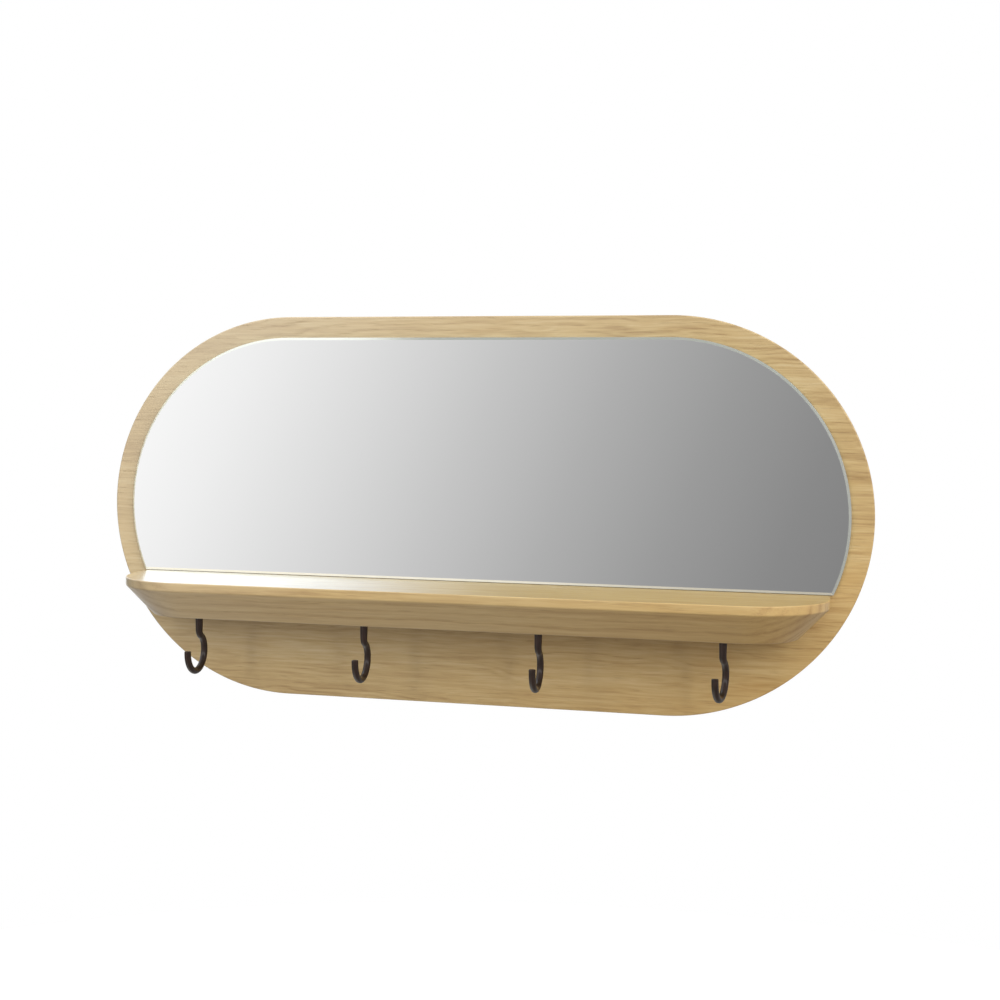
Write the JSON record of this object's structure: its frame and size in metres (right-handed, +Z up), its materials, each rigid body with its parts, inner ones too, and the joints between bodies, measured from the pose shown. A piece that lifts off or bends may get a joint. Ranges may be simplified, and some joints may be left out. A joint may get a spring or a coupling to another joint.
{
  "type": "wall mirror with shelf and hooks",
  "caption": "Round-ended wooden wall mirror with a bevelled shelf across it and bent wire coat hooks under the shelf.",
  "frame": {"origin": "middle of the board's back face, which hangs against the wall", "axes": "+X along the length to the viewer's right, +Z up, the front faces -Y"},
  "size_m": [0.6, 0.11, 0.3],
  "materials": {
    "oak": "solid light oak, satin clear lacquer, grain along the length",
    "mirror": "silvered float glass with a ground arris",
    "black_lacquer": "steel wire, smooth brown-black lacquer",
    "zinc": "bright zinc plate",
    "beech": "bare beech",
    "foam_tape": "white foam tape",
    "silicone": "translucent soft bumper"
  },
  "bodies": {
    "root": {"back_board": "oak", "shelf": "oak", "mirror_glass": "mirror", "glass_tape_1": "foam_tape", "glass_tape_2": "foam_tape", "glass_tape_3": "foam_tape", "glass_tape_4": "foam_tape", "hook_1": "black_lacquer", "hook_2": "black_lacquer", "hook_3": "black_lacquer", "hook_4": "black_lacquer", "shelf_screw_left": "zinc", "shelf_screw_middle": "zinc", "shelf_screw_right": "zinc", "shelf_dowel_left": "beech", "shelf_dowel_right": "beech", "hanger_plate_left": "zinc", "hanger_plate_right": "zinc", "hanger_screw_left_upper": "zinc", "hanger_screw_left_lower": "zinc", "hanger_screw_right_upper": "zinc", "hanger_screw_right_lower": "zinc", "wall_bumper_left_lower": "silicone", "wall_bumper_left_upper": "silicone", "wall_bumper_right_lower": "silicone", "wall_bumper_right_upper": "silicone"}
  },
  "joints": []
}
